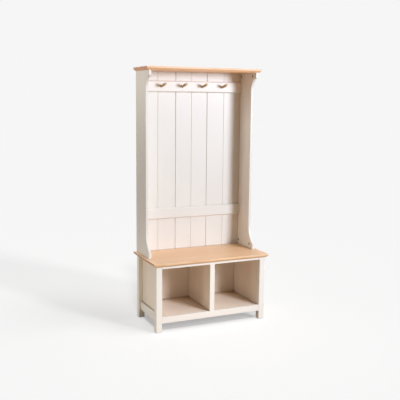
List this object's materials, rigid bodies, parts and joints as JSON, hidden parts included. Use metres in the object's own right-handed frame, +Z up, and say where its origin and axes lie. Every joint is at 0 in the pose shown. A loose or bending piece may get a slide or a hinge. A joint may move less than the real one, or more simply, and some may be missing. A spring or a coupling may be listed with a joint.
{
  "type": "hall stand with bench",
  "caption": "Open hall stand: a painted bench with an oak seat and open cubbies carries a shaped, boarded hutch with angled coat pegs and an oak top.",
  "frame": {"origin": "on the floor, under the middle of the seat", "axes": "+Z up; +X to the right as seen from the front; -Y to the front, +Y to the wall"},
  "size_m": [0.9, 0.45, 1.85],
  "materials": {
    "cream_paint": "satin paint",
    "oak": "satin lacquer",
    "peg_oak": "satin lacquer",
    "beech": "bare",
    "zinc": "zinc plated",
    "glide_plastic": "matt"
  },
  "bodies": {
    "root": {"front_left_leg": "cream_paint", "front_right_leg": "cream_paint", "rear_left_leg": "cream_paint", "rear_right_leg": "cream_paint", "left_side_rail": "cream_paint", "right_side_rail": "cream_paint", "left_end_panel": "cream_paint", "right_end_panel": "cream_paint", "left_hutch_side": "cream_paint", "right_hutch_side": "cream_paint", "left_back_board": "cream_paint", "centre_back_board": "cream_paint", "right_back_board": "cream_paint", "front_bottom_rail": "cream_paint", "rear_bottom_rail": "cream_paint", "front_stretcher": "cream_paint", "rear_stretcher": "cream_paint", "base_shelf": "cream_paint", "divider_stile": "cream_paint", "divider_panel": "cream_paint", "bench_back": "cream_paint", "hook_rail": "cream_paint", "lower_rail": "cream_paint", "seat_board": "oak", "top_board": "oak", "coat_peg_1": "peg_oak", "coat_peg_2": "peg_oak", "coat_peg_3": "peg_oak", "coat_peg_4": "peg_oak", "leg_glides": "glide_plastic", "bench_dowels": "beech", "hutch_dowels": "beech", "cam_locks": "zinc", "cam_bolts": "zinc", "seat_screws": "zinc", "rail_screws": "zinc", "bench_back_screws": "zinc"}
  },
  "joints": []
}
